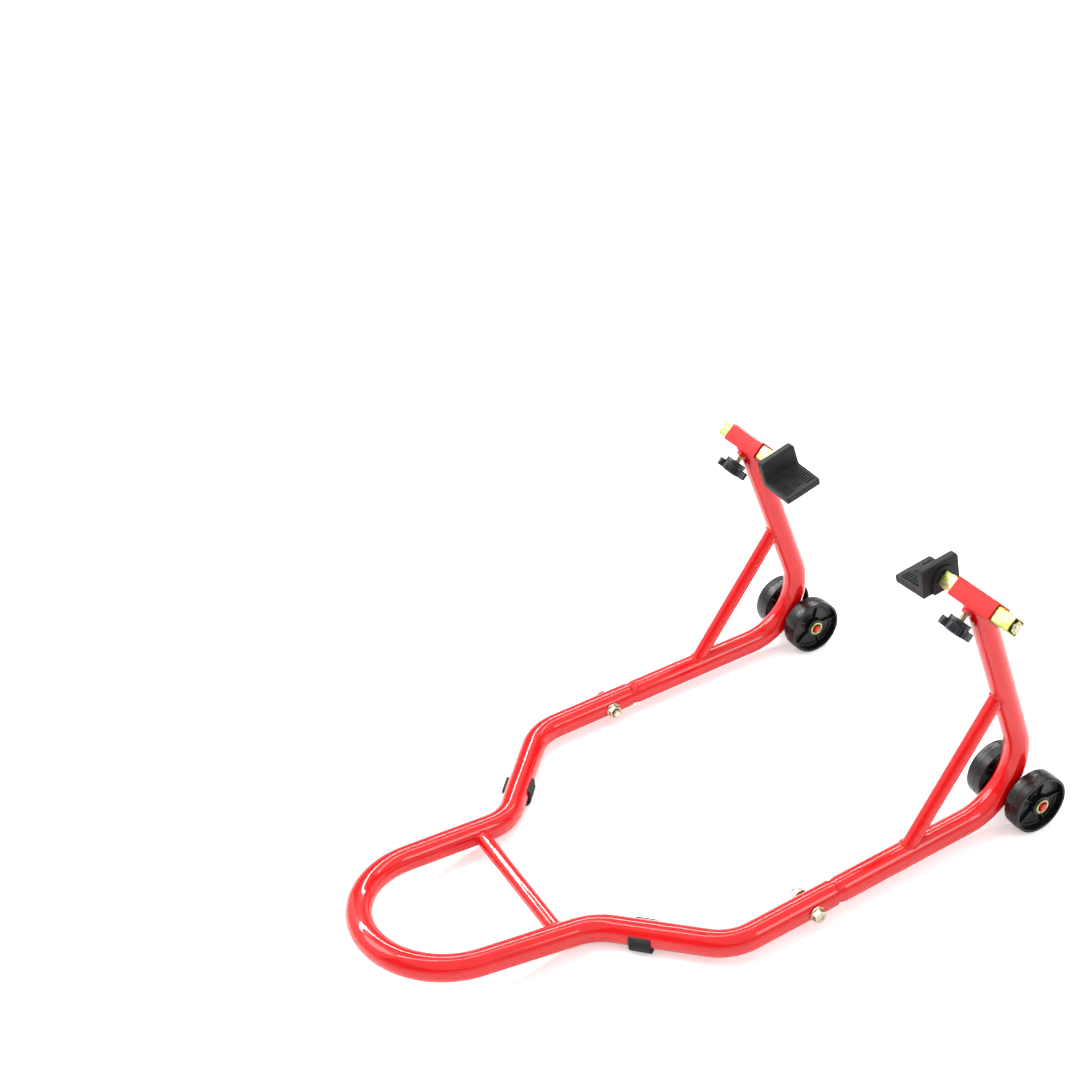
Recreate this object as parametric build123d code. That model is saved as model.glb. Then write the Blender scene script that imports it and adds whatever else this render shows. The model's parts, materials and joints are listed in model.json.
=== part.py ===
from build123d import *
import math
import os

# A rear paddock stand for a motorcycle, in millimetres.
# +Z is up, +Y runs from the pull handle to the wheels and +X is the stand's right side.
# The origin is on the floor, on the stand's middle plane, halfway along its length.
# Everything on the right side is mirrored to the left, except where the two slide bars
# are set to different widths and the two pads to different tilts.

# ---- Frame tubes ----------------------------------------------------------------------
overall_length = 822.0        # end of the handle to the back of the wheels
tube_diameter = 32.0
tube_wall = 2.0
strut_diameter = 19.0         # crossbar and braces
strut_wall = 1.5
strut_end_inset = 2.0         # a strut's axis stops this far short of the main tube's axis

handle_half_width = 110.0     # middle plane to the handle's S bend
handle_lift = 2.0             # gap under the tube at that bend
handle_slope = 8.2            # degrees that the grip loop rises
grip_radius = 102.0           # bend of the grip loop, on the tube axis
s_bend_radius = 60.0
s_bend_run = 110.0            # length of the stretch that widens the frame, along Y
arm_half_width_front = 232.5
arm_half_width_rear = 228.5
arm_lift = 7.0                # gap under the arm's front end
arm_length = 447.0            # S bend to rear corner, along Y
crossbar_from_bend = 42.0     # crossbar behind the handle's S bend, along Y

rear_bend_radius = 80.0
rear_corner_behind_axle = 25.0
rear_corner_below_axle = 15.0
upright_half_width = 226.0    # middle plane to the centre of the square sleeve
upright_lean = 94.4           # sleeve centre ahead of the rear corner
sleeve_height = 342.8         # sleeve centre above the floor
brace_foot_share = 0.55       # place of the brace's foot along the arm
brace_head_share = 0.56       # place of the brace's head up the upright

# ---- Bolted joint between the handle and each arm ------------------------------------
joint_from_bend = 107.0
joint_overlap = 33.0          # bolt to the handle tube's open end
swage_insert = 25.0           # bolt to the arm's own front end
swage_shoulder = 1.0
swage_cone = 11.0
swage_clearance = 0.1
joint_bolt_diameter = 10.0
joint_hole_clearance = 0.2
joint_bolt_flats = 15.0
joint_bolt_head = 6.5
joint_washer_diameter = 19.0
washer_thickness = 1.6
joint_nut_height = 7.0
nylon_insert_height = 2.5
nylon_insert_diameter = 12.6
bolt_end_proud = 2.0

# ---- Wheels ---------------------------------------------------------------------------
wheel_diameter = 78.0
wheel_width = 24.0
rim_thickness = 4.0
web_thickness = 4.0
hub_diameter = 26.0
rib_count = 5
rib_thickness = 3.0
rib_inset = 3.5
wheel_edge = 1.5
axle_diameter = 12.0
bush_diameter = 16.0
running_clearance = 0.06
end_float = 0.3
axle_boss_diameter = 20.0
axle_boss_half_length = 20.0
spacer_thickness = 2.0
spacer_diameter = 19.0
retainer_thickness = 1.6
axle_end_proud = 2.6
axle_chamfer = 1.2

# ---- Square sleeve and slide bar ------------------------------------------------------
sleeve_size = 25.0
sleeve_wall = 2.0
sleeve_length = 66.0
sleeve_tilt = 47.0            # degrees from straight down to the face with the clamp
bar_clearance = 0.5
bar_wall = 1.5
bar_length = 114.0
bar_beyond_sleeve = {"right": 27.0, "left": 18.0}
bar_plate_thickness = 3.0
bar_plate_clearance = 0.1
nut_recess = 7.0

# ---- Clamp screw ----------------------------------------------------------------------
clamp_inset = 3.0             # clamp axis nearer the pad than the sleeve's centre
clamp_forward = 2.0           # clamp axis up the sleeve's face
stud_diameter = 8.0
stud_clearance = 0.05
stud_hole_clearance = 0.35
stud_tip_gap = 0.1
stud_chamfer = 0.8
clamp_nut_flats = 13.0
clamp_nut_height = 6.5
clamp_nut_gap = 0.2
knob_gap = 8.5                # clamp nut to knob
knob_boss_diameter = 28.0
knob_boss_height = 6.0
knob_diameter = 42.0
knob_height = 10.5
knob_lobes = 6
knob_lobe_width = 12.0
knob_core_diameter = 31.0
knob_edge = 1.2
stud_into_knob = 12.0

# ---- Swivelling pad -------------------------------------------------------------------
pad_tilt = {"right": 7.0, "left": 13.5}   # degrees, rear edge up
pad_length = 53.0
pad_forward = 3.0             # middle of the pad ahead of the spindle
pad_above_spindle = 24.2
pad_below_spindle = 15.9
pad_thickness = 9.2
pad_reach = 54.0              # outer face of the wall to the free edge of the seat
pad_droop = 4.0
pad_corner = 4.0
arch_radius = 17.0
arch_depth = 4.0
bracket_thickness = 4.0
bracket_margin = 5.0
spindle_diameter = 10.0
spindle_washer_diameter = 19.0
spindle_nut_flats = 14.0
spindle_nut_height = 8.0
spindle_end_proud = 1.5
swivel_gap = 0.3

# ---- Rubber feet ----------------------------------------------------------------------
foot_share = 0.36             # place of the foot along the widening stretch
foot_length = 26.0
foot_width = 37.0
foot_height = 26.0
foot_edge = 1.0
foot_bend = 13.0              # round of the sole's long edges
foot_screw_diameter = 4.0
foot_screw_head = 8.0
foot_screw_head_height = 2.0
foot_screw_recess = 1.0
foot_screw_depth = 4.0        # screw point above the tube's inner wall

# ---- Worked-out sizes and places ------------------------------------------------------
tube_radius = tube_diameter / 2
tube_bore = tube_radius - tube_wall
wheel_radius = wheel_diameter / 2
axle_y = overall_length / 2 - wheel_radius
corner_y = axle_y + rear_corner_behind_axle
handle_height = tube_radius + handle_lift

rear_corner = Vector(arm_half_width_rear, corner_y, wheel_radius - rear_corner_below_axle)
front_corner = Vector(arm_half_width_front, corner_y - arm_length, tube_radius + arm_lift)
handle_corner = Vector(handle_half_width, front_corner.Y - s_bend_run, handle_height)
sleeve_centre = Vector(upright_half_width, corner_y - upright_lean, sleeve_height)
arm_axis = (rear_corner - front_corner).normalized()
upright_axis = (sleeve_centre - rear_corner).normalized()
joint_point = front_corner + arm_axis * joint_from_bend
seam_point = joint_point + arm_axis * joint_overlap
# The joint bolt's own frame: local Z points outwards, square to the arm.
joint_plane = Plane(origin=joint_point, x_dir=arm_axis, z_dir=(arm_axis.Y, -arm_axis.X, 0))

# The sleeve's own frame: local X is the world's X and local Z points out of the clamp face.
clamp_axis = Vector(0, -math.sin(math.radians(sleeve_tilt)), -math.cos(math.radians(sleeve_tilt)))
sleeve_plane = Plane(origin=sleeve_centre, x_dir=(1, 0, 0), z_dir=clamp_axis)
bar_size = sleeve_size - 2 * (sleeve_wall + bar_clearance)
clamp_plane = Plane(
    origin=sleeve_plane.from_local_coords(Vector(-clamp_inset, clamp_forward, 0)),
    x_dir=(1, 0, 0),
    z_dir=clamp_axis,
)
clamp_nut_start = sleeve_size / 2
knob_start = clamp_nut_start + clamp_nut_height + knob_gap

BOTTOM = (Align.CENTER, Align.CENTER, Align.MIN)
nodes = {}


# ---- Helpers --------------------------------------------------------------------------
def save(name, *solids):
    """Keeps one node, made of one solid or of several separate ones."""
    nodes[name] = solids[0] if len(solids) == 1 else Compound(children=list(solids))


def mirrored(shape):
    return mirror(shape, about=Plane.YZ)


def save_pair(name, right):
    save(f"{name}_right", right)
    save(f"{name}_left", mirrored(right))


def flipped(point):
    return Vector(-point.X, point.Y, point.Z)


def rod(start, end, radius):
    plane = Plane(origin=start, z_dir=end - start)
    return plane * Cylinder(radius, (end - start).length, align=BOTTOM)


def drum(plane, height, radius):
    return plane * Cylinder(radius, height, align=BOTTOM)


def ring(plane, height, outer, inner):
    return drum(plane, height, outer) - drum(plane, height, inner)


def hexagon(plane, height, flats):
    return plane * extrude(RegularPolygon(flats / 2, 6, major_radius=False), height)


def pipe(path, outer, inner=0.0):
    """A tube, or a solid bar when inner is 0, along a smooth path."""
    section = Circle(outer) - Circle(inner) if inner else Circle(outer)
    return sweep(Plane(origin=path @ 0, z_dir=path % 0) * section, path=path)


def x_plane(x, y, z):
    """A plane facing +X, with its own X along the world's Y."""
    return Plane(origin=(x, y, z), x_dir=(0, 1, 0), z_dir=(1, 0, 0))


# ---- Handle ---------------------------------------------------------------------------
def handle_path():
    """Both side tubes with their S bends, joined by the grip loop."""
    slope = math.radians(handle_slope)
    grip_end_y = -overall_length / 2 + tube_radius
    run = (handle_corner.Y - grip_end_y) / math.cos(slope)
    centre = run - grip_radius
    to_centre = math.hypot(handle_half_width, centre)
    taper = math.asin(grip_radius / to_centre) - math.atan2(handle_half_width, centre)
    side = math.sqrt(to_centre**2 - grip_radius**2)

    def on_slope(x, along):
        rise = along * math.sin(slope)
        return Vector(x, handle_corner.Y - along * math.cos(slope), handle_height + rise)

    tangent = on_slope(handle_half_width + side * math.sin(taper), side * math.cos(taper))
    loop = ThreePointArc(tangent, on_slope(0, run), flipped(tangent))
    side_points = [seam_point, front_corner, handle_corner, tangent]
    bends = [s_bend_radius, s_bend_radius]
    right = FilletPolyline(*side_points, radius=bends)
    left = FilletPolyline(*[flipped(p) for p in reversed(side_points)], radius=bends)
    return Wire(right.edges() + loop.edges() + left.edges()), tangent


def joint_hole():
    radius = joint_bolt_diameter / 2 + joint_hole_clearance
    return drum(joint_plane.offset(-tube_diameter), 2 * tube_diameter, radius)


def foot_point():
    return handle_corner + (front_corner - handle_corner) * foot_share


def foot_screw_shank():
    base = foot_point()
    height = base.Z - tube_bore + foot_screw_depth - foot_screw_recess
    plane = Plane(origin=(base.X, base.Y, foot_screw_recess), z_dir=(0, 0, 1))
    return drum(plane, height, foot_screw_diameter / 2)


grip_path, loop_start = handle_path()
handle_outside = pipe(grip_path, tube_radius)
handle = pipe(grip_path, tube_radius, tube_bore)
for cut in (joint_hole(), foot_screw_shank()):
    handle -= cut
    handle -= mirrored(cut)
save("handle_tube", handle)

# The crossbar meets the two side tubes, coped to their outsides.
crossbar_share = crossbar_from_bend / (handle_corner.Y - loop_start.Y)
crossbar_end = handle_corner + (loop_start - handle_corner) * crossbar_share
crossbar_end -= Vector(strut_end_inset, 0, 0)
crossbar = rod(flipped(crossbar_end), crossbar_end, strut_diameter / 2)
crossbar -= rod(flipped(crossbar_end), crossbar_end, strut_diameter / 2 - strut_wall)
save("handle_crossbar", crossbar - handle_outside)


# ---- Arm and upright ------------------------------------------------------------------
def swaged_end():
    """The arm's narrowed front end, which slides into the handle tube."""
    narrow = tube_bore - swage_clearance
    shoulder = swage_insert + joint_overlap + swage_shoulder
    end = shoulder + swage_cone
    outline = [
        (narrow, 0),
        (narrow, shoulder),
        (tube_radius, end),
        (tube_bore, end),
        (narrow - tube_wall, shoulder),
        (narrow - tube_wall, 0),
    ]
    face = make_face(Polyline(*[(r, 0, s) for r, s in outline], close=True))
    start = joint_point - arm_axis * swage_insert
    return Plane(origin=start, z_dir=arm_axis) * revolve(face, Axis.Z), start + arm_axis * end


def sleeve_block(size, length):
    return sleeve_plane * Box(length, size, size)


swage, swage_end = swaged_end()
upright_top = sleeve_centre + upright_axis * tube_radius
arm_path = FilletPolyline(swage_end, rear_corner, upright_top, radius=[rear_bend_radius])
above_sleeve = Box(4 * tube_diameter, 4 * tube_diameter, 2 * tube_diameter, align=BOTTOM)
boss_plane = x_plane(arm_half_width_rear - axle_boss_half_length, axle_y, wheel_radius)
clamp_nut_plane = clamp_plane.offset(clamp_nut_start)

arm_outside = pipe(arm_path, tube_radius)
arm = pipe(arm_path, tube_radius, tube_bore) + swage
arm -= Pos(*sleeve_centre) * above_sleeve
arm -= sleeve_block(sleeve_size, sleeve_length)
arm -= drum(boss_plane, 2 * axle_boss_half_length, axle_boss_diameter / 2)
arm -= hexagon(clamp_nut_plane, clamp_nut_height + clamp_nut_gap, clamp_nut_flats + 2 * clamp_nut_gap)
arm -= drum(clamp_nut_plane, knob_start - clamp_nut_start, stud_diameter / 2 + stud_hole_clearance)
arm -= joint_hole()
save_pair("arm", arm.solids().sort_by(SortBy.VOLUME)[-1])

brace_foot = front_corner + (rear_corner - front_corner) * brace_foot_share
brace_head = rear_corner + (sleeve_centre - rear_corner) * brace_head_share
brace_axis = (brace_head - brace_foot).normalized()
brace_ends = (brace_foot + brace_axis * strut_end_inset, brace_head - brace_axis * strut_end_inset)
brace = rod(*brace_ends, strut_diameter / 2) - rod(*brace_ends, strut_diameter / 2 - strut_wall)
save_pair("brace", brace - arm_outside)

# ---- Bolted joint ---------------------------------------------------------------------
bolt_radius = joint_bolt_diameter / 2
head_start = tube_radius + washer_thickness
nut_start = -head_start - joint_nut_height
insert_start = nut_start - nylon_insert_height
bolt_tail = insert_start - bolt_end_proud
bolt = drum(joint_plane.offset(bolt_tail), head_start - bolt_tail, bolt_radius)
bolt += hexagon(joint_plane.offset(head_start), joint_bolt_head, joint_bolt_flats)
save_pair("joint_bolt", bolt)

nut = hexagon(joint_plane.offset(nut_start), joint_nut_height, joint_bolt_flats)
save_pair("joint_nut", nut - drum(joint_plane.offset(nut_start), joint_nut_height, bolt_radius))

insert = ring(
    joint_plane.offset(insert_start), nylon_insert_height, nylon_insert_diameter / 2, bolt_radius
)
save("nylon_inserts", insert, mirrored(insert))

washers = [
    ring(joint_plane.offset(start), washer_thickness, joint_washer_diameter / 2, bolt_radius)
    for start in (tube_radius, -head_start)
]
save("joint_washers", *washers, *[mirrored(w) for w in washers])


# ---- Wheels ---------------------------------------------------------------------------
def wheel(x):
    """A moulded wheel whose inner side is at x, along +X."""
    plane = x_plane(x, axle_y, wheel_radius)
    rim = Cylinder(wheel_radius, wheel_width, align=BOTTOM)
    rim = chamfer(rim.edges().filter_by(GeomType.CIRCLE), wheel_edge)
    rim -= Cylinder(wheel_radius - rim_thickness, wheel_width, align=BOTTOM)
    web = Cylinder(wheel_radius - rim_thickness / 2, web_thickness)
    body = rim + Pos(0, 0, wheel_width / 2) * web
    body += Cylinder(hub_diameter / 2, wheel_width, align=BOTTOM)
    reach = wheel_radius - rim_thickness / 2 - bush_diameter / 2
    for spoke in PolarLocations(bush_diameter / 2 + reach / 2, rib_count):
        body += Pos(0, 0, wheel_width / 2) * spoke * Box(reach, rib_thickness, wheel_width - 2 * rib_inset)
    return plane * (body - Cylinder(bush_diameter / 2, wheel_width, align=BOTTOM))


def bush(x):
    bore = axle_diameter / 2 + running_clearance
    return ring(x_plane(x, axle_y, wheel_radius), wheel_width, bush_diameter / 2, bore)


hub_offset = axle_boss_half_length + spacer_thickness + end_float
outer_wheel_x = arm_half_width_rear + hub_offset
inner_wheel_x = arm_half_width_rear - hub_offset - wheel_width
for place, x in (("outer", outer_wheel_x), ("inner", inner_wheel_x)):
    save_pair(f"wheel_{place}", wheel(x))
    save_pair(f"wheel_bush_{place}", bush(x))

axle_half = hub_offset + wheel_width + end_float + retainer_thickness + axle_end_proud
axle_plane = x_plane(arm_half_width_rear - axle_half, axle_y, wheel_radius)
axle = drum(axle_plane, 2 * axle_half, axle_diameter / 2)
save_pair("axle", chamfer(axle.edges().filter_by(GeomType.CIRCLE), axle_chamfer))

save_pair(
    "axle_boss", ring(boss_plane, 2 * axle_boss_half_length, axle_boss_diameter / 2, axle_diameter / 2)
)


def axle_rings(outer_offset, thickness):
    """A ring on each side of the arm, each with its outer face this far from the arm."""
    starts = (arm_half_width_rear + outer_offset - thickness, arm_half_width_rear - outer_offset)
    rings = [
        ring(x_plane(x, axle_y, wheel_radius), thickness, spacer_diameter / 2, axle_diameter / 2)
        for x in starts
    ]
    return rings + [mirrored(r) for r in rings]


save("axle_spacers", *axle_rings(axle_boss_half_length + spacer_thickness, spacer_thickness))
save("axle_retainers", *axle_rings(axle_half - axle_end_proud, retainer_thickness))

# ---- Rubber feet ----------------------------------------------------------------------
foot_base = foot_point()
foot_line = front_corner - handle_corner
foot_plane = Plane(
    origin=(foot_base.X, foot_base.Y, 0), x_dir=(foot_line.X, foot_line.Y, 0), z_dir=(0, 0, 1)
)
foot = Box(foot_length, foot_width, foot_height, align=BOTTOM)
foot = fillet(foot.faces().sort_by(Axis.Z)[0].edges().filter_by(Axis.X), foot_bend)
foot = foot_plane * chamfer(foot.faces().sort_by(Axis.Z)[0].edges().filter_by(Axis.Y), foot_edge)
foot -= handle_outside
foot -= foot_screw_shank()
head_top = foot_screw_recess + foot_screw_head_height
foot -= drum(foot_plane, head_top, foot_screw_head / 2)
save_pair("foot", foot.solids().sort_by(SortBy.VOLUME)[-1])

screw = foot_screw_shank()
screw += drum(foot_plane.offset(foot_screw_recess), foot_screw_head_height, foot_screw_head / 2)
save("foot_screws", screw, mirrored(screw))

# ---- Sleeve and clamp nut -------------------------------------------------------------
sleeve = sleeve_block(sleeve_size, sleeve_length)
sleeve -= sleeve_block(sleeve_size - 2 * sleeve_wall, sleeve_length)
stud_hole = drum(clamp_plane, sleeve_size, stud_diameter / 2 + stud_hole_clearance)
save_pair("sleeve", sleeve - stud_hole)

clamp_nut = hexagon(clamp_nut_plane, clamp_nut_height, clamp_nut_flats)
clamp_nut -= drum(clamp_nut_plane, clamp_nut_height, stud_diameter / 2 + stud_clearance)
save_pair("clamp_nut", clamp_nut)

# ---- Clamp stud and star knob ---------------------------------------------------------
stud_start = bar_size / 2 + stud_tip_gap
stud_length = knob_start + stud_into_knob - stud_start
stud = Cylinder(stud_diameter / 2, stud_length, align=BOTTOM)
stud = chamfer(stud.edges().filter_by(GeomType.CIRCLE), stud_chamfer)
save_pair("clamp_stud", clamp_plane.offset(stud_start) * stud)

star = Circle(knob_core_diameter / 2)
for turn in range(knob_lobes // 2):
    star += Rot(0, 0, 360 / knob_lobes * turn) * Rectangle(knob_diameter, knob_lobe_width)
knob = extrude(star, knob_height)
knob = chamfer(knob.faces().sort_by(Axis.Z)[-1].edges(), knob_edge)
knob = Pos(0, 0, knob_boss_height) * knob
knob += Cylinder(knob_boss_diameter / 2, knob_boss_height, align=BOTTOM)
knob -= Cylinder(stud_diameter / 2 + stud_clearance, stud_into_knob + end_float, align=BOTTOM)
save_pair("clamp_knob", clamp_plane.offset(knob_start) * knob)


# ---- Slide bar and swivelling pad -----------------------------------------------------
def pad_profile(inset):
    """The pad's L shape in section, drawn inset from the rubber's outside."""
    droop = math.radians(pad_droop)
    thick = pad_thickness - 2 * inset
    wall_x = -inset
    corner = Vector(wall_x - thick, -pad_below_spindle + inset + thick)
    reach = pad_reach - pad_thickness
    free = corner + Vector(-math.cos(droop), -math.sin(droop)) * reach
    under = free + Vector(math.sin(droop), -math.cos(droop)) * thick
    return [
        (wall_x, pad_above_spindle - inset),
        (wall_x - thick, pad_above_spindle - inset),
        tuple(corner)[:2],
        tuple(free)[:2],
        tuple(under)[:2],
        (wall_x, -pad_below_spindle + inset),
    ]


def pad_prism(inset, length, reach_cut):
    """The L profile drawn out along Y, its free edge cut back by reach_cut."""
    face = make_face(Polyline(*[(x, 0, z) for x, z in pad_profile(inset)], close=True))
    body = Pos(0, -pad_forward, 0) * extrude(face, length / 2, dir=(0, 1, 0), both=True)
    reach_limit = (Align.MAX, Align.CENTER, Align.CENTER)
    keep = Box(pad_reach - reach_cut, 2 * length, 4 * pad_reach, align=reach_limit)
    return body & keep if reach_cut else body


def slide_and_pad(side):
    """The slide bar with its end plates, and the pad on its spindle, at the right side."""
    bar_end = sleeve_centre.X + sleeve_length / 2 + bar_beyond_sleeve[side]
    bar_start = bar_end - bar_length
    bar_plane = sleeve_plane * Pos(bar_start + bar_length / 2 - sleeve_centre.X, 0, 0)
    bore = bar_size - 2 * bar_wall
    bar = Box(bar_length, bar_size, bar_size) - Box(bar_length, bore, bore)
    plate_size = bore - 2 * bar_plate_clearance
    plate = Box(bar_plate_thickness, plate_size, plate_size)
    plate -= Rot(0, 90, 0) * Cylinder(spindle_diameter / 2 + running_clearance, bar_plate_thickness)
    inner_plate = Pos((bar_plate_thickness - bar_length) / 2, 0, 0) * plate
    outer_plate = Pos((bar_length - bar_plate_thickness) / 2 - nut_recess, 0, 0) * plate
    parts = {
        "slide_bar": bar_plane * bar,
        "bar_end_plates": [bar_plane * inner_plate, bar_plane * outer_plate],
    }

    wall_x = bar_start - swivel_gap - washer_thickness - arch_depth
    pad_place = Pos(wall_x, sleeve_centre.Y, sleeve_centre.Z) * Rot(pad_tilt[side], 0, 0)
    bracket_inset = (pad_thickness - bracket_thickness) / 2
    bracket = pad_prism(bracket_inset, pad_length - 2 * bracket_margin, bracket_margin)
    bracket -= Pos(0, 0, pad_above_spindle) * Box(4 * pad_thickness, 2 * pad_length, 2 * bracket_margin)
    rubber = pad_prism(0, pad_length, 0)
    ends = rubber.edges().filter_by(Axis.X).sort_by(Axis.Z)[-2:]
    rubber = fillet(ends, pad_corner)
    arch = Cylinder(arch_radius, arch_depth, align=BOTTOM)
    arch += Pos(0, -pad_below_spindle / 2, 0) * Box(
        2 * arch_radius, pad_below_spindle, arch_depth, align=BOTTOM
    )
    rubber += x_plane(0, 0, 0) * arch
    spindle_start = -bracket_inset
    spindle_end = bar_end - wall_x - nut_recess + washer_thickness + spindle_nut_height + spindle_end_proud
    spindle = drum(x_plane(spindle_start, 0, 0), spindle_end - spindle_start, spindle_diameter / 2)
    rubber -= bracket
    rubber -= spindle
    washer_x = bar_end - wall_x - nut_recess + swivel_gap
    inner_washer = ring(
        x_plane(arch_depth, 0, 0), washer_thickness, spindle_washer_diameter / 2, spindle_diameter / 2
    )
    outer_washer = ring(
        x_plane(washer_x, 0, 0), washer_thickness, spindle_nut_flats / 2, spindle_diameter / 2
    )
    nut_plane = x_plane(washer_x + washer_thickness, 0, 0)
    spindle_nut = hexagon(nut_plane, spindle_nut_height, spindle_nut_flats)
    spindle_nut -= drum(nut_plane, spindle_nut_height, spindle_diameter / 2)
    swivel = {
        "pad_bracket": bracket,
        "pad_rubber": rubber,
        "pad_spindle": spindle,
        "spindle_washers": [inner_washer, outer_washer],
        "spindle_nut": spindle_nut,
    }
    for name, shape in swivel.items():
        placed = [pad_place * s for s in shape] if isinstance(shape, list) else pad_place * shape
        parts[name] = placed
    return parts


for side in ("right", "left"):
    for name, shape in slide_and_pad(side).items():
        shapes = shape if isinstance(shape, list) else [shape]
        if side == "left":
            shapes = [mirrored(s) for s in shapes]
        save(f"{name}_{side}", *shapes)

# ---- Files ----------------------------------------------------------------------------
os.makedirs("parts", exist_ok=True)
for name, shape in nodes.items():
    export_step(shape, f"parts/{name}.step")
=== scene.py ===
import json
from math import asin, atan2, ceil, cos, pi, radians, sin, sqrt, tan

import bmesh
import bpy
from mathutils import Matrix, Vector
from mathutils.bvhtree import BVHTree

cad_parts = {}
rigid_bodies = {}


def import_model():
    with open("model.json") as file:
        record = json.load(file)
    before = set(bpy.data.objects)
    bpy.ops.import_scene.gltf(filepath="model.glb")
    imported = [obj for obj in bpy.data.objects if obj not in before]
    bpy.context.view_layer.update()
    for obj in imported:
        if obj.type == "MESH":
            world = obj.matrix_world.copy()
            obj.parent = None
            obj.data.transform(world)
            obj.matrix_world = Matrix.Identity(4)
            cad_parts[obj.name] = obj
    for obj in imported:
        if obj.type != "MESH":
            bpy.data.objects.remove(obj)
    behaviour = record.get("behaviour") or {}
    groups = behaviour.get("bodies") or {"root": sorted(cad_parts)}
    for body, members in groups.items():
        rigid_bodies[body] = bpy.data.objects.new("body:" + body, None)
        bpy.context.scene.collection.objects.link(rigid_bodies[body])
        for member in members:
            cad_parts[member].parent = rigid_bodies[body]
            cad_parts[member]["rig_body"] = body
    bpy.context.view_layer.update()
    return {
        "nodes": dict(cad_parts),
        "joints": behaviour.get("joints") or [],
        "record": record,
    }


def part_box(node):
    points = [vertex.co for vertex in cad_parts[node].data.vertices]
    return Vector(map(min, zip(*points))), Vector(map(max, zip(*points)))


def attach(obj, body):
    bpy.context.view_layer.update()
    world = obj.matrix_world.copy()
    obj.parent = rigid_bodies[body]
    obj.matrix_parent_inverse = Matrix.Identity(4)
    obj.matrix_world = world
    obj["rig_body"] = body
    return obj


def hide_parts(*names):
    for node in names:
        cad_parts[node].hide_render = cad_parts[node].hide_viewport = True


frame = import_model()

# The looks of a rear paddock stand: a red enamelled tube frame, black moulded wheels,
# plated slide bars, and rubber pads on swivels. Sizes are in millimetres, except for the
# floor and lamps, which are in metres. +Z is up, +Y from the pull handle to the wheels,
# and +X to the stand's right.

MM = 0.001
nodes = frame["nodes"]
record = frame["record"]
joints = {j["name"]: j for j in frame["joints"]}
mounts = {m["name"]: m for m in record["mounts"]}
SIDES = {"right": 1, "left": -1}


# ---- Reading the frame ----------------------------------------------------------------
def box(node):
    """Lowest and highest corner of a CAD node, in mm."""
    low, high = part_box(node)
    return low / MM, high / MM


def centre(node):
    low, high = box(node)
    return (low + high) / 2


def body(node):
    return nodes[node]["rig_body"]


def span(corners, axis):
    return corners[1][axis] - corners[0][axis]


def long_edge(node, near=None, reach=0.0):
    """Direction of the node's longest mesh edge, or of the longest that passes within reach of near."""
    mesh = nodes[node].data
    best = Vector()
    for edge in mesh.edges:
        a, b = (mesh.vertices[i].co / MM for i in edge.vertices)
        along = b - a
        if along.length <= best.length:
            continue
        if near is not None:
            share = (near - a).dot(along) / along.length_squared
            if (a + along * min(1, max(0, share)) - near).length > reach:
                continue
        best = along
    return best.normalized()


def facing(direction, towards):
    """The direction, or its opposite, whichever points towards the second one."""
    return direction if direction.dot(Vector(towards)) > 0 else -direction


def local_frame(origin, z, x):
    """A local frame: its origin, its Z, and its X as near to x as square allows."""
    z = Vector(z).normalized()
    y = z.cross(Vector(x)).normalized()
    made = Matrix((y.cross(z), y, z)).transposed().to_4x4()
    made.translation = origin
    return made


# ---- Building meshes ------------------------------------------------------------------
def rounded(points, radii, steps=5):
    """The closed outline with its corners turned to arcs, by one radius or one for each corner."""
    points = [Vector(p) for p in points]
    if not isinstance(radii, (list, tuple)):
        radii = [radii] * len(points)
    outline = []
    for i, corner in enumerate(points):
        back = points[i - 1] - corner
        ahead = points[(i + 1) % len(points)] - corner
        half = back.angle(ahead) / 2
        reach = min(radii[i] / tan(half), 0.49 * back.length, 0.49 * ahead.length)
        if reach < 0.01:
            outline.append(corner)
            continue
        middle = corner + (back.normalized() + ahead.normalized()).normalized() * reach / cos(half)
        first = corner + back.normalized() * reach - middle
        last = corner + ahead.normalized() * reach - middle
        radius = first.length
        outline += [middle + radius * first.slerp(last, k / steps) for k in range(steps + 1)]
    return outline


def turned(bm, at, profile, segments=64):
    """Turns a closed profile round Z. profile(angle) always gives as many (radius, height) points."""
    rings = []
    for k in range(segments):
        angle = 2 * pi * k / segments
        ray = (cos(angle), sin(angle))
        rings.append(
            [bm.verts.new(at @ Vector((r * ray[0], r * ray[1], z))) for r, z in profile(angle)]
        )
    for k, ring in enumerate(rings):
        following = rings[(k + 1) % segments]
        for i in range(len(ring)):
            j = (i + 1) % len(ring)
            bm.faces.new((ring[i], following[i], following[j], ring[j]))


def lofted(bm, at, sections, hole=False):
    """Skins sections of equal count, given as 3-D points. With hole, the first meets the last."""
    rings = [[bm.verts.new(at @ Vector(p)) for p in section] for section in sections]
    pairs = list(zip(rings, rings[1:] + rings[:1])) if hole else list(zip(rings, rings[1:]))
    for ring, following in pairs:
        for i in range(len(ring)):
            j = (i + 1) % len(ring)
            bm.faces.new((ring[i], following[i], following[j], ring[j]))
    if not hole:
        bm.faces.new(rings[0])
        bm.faces.new(reversed(rings[-1]))


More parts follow.
